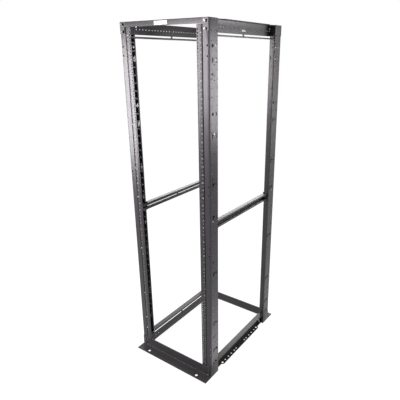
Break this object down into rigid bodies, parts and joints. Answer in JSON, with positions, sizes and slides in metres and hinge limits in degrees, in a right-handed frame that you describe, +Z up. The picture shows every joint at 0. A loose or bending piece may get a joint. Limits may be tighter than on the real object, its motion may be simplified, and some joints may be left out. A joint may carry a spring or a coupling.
{
  "type": "four post open frame rack",
  "caption": "Tall black open frame rack on corner posts for 19 inch equipment, with drilled mounting rails, slotted side beams, top bars and floor angles to bolt down.",
  "frame": {"origin": "floor level under the middle of the rack", "axes": "+X to the right as seen from the front, +Y to the rear, +Z up"},
  "size_m": [0.6, 0.895, 2.134],
  "materials": {
    "black_powder_coat": "satin",
    "fastener_zinc": "satin",
    "print_white": "matt"
  },
  "bodies": {
    "root": {"post_front_right": "black_powder_coat", "post_front_left": "black_powder_coat", "post_rear_right": "black_powder_coat", "post_rear_left": "black_powder_coat", "mounting_rail_front_right": "black_powder_coat", "mounting_rail_front_left": "black_powder_coat", "mounting_rail_rear_right": "black_powder_coat", "mounting_rail_rear_left": "black_powder_coat", "top_beam_right": "black_powder_coat", "top_beam_left": "black_powder_coat", "mid_bar_right": "black_powder_coat", "mid_bar_left": "black_powder_coat", "bottom_beam_right": "black_powder_coat", "bottom_beam_left": "black_powder_coat", "top_bar_front": "black_powder_coat", "top_bar_rear": "black_powder_coat", "base_angle_front": "black_powder_coat", "base_angle_rear": "black_powder_coat"}
  },
  "joints": []
}
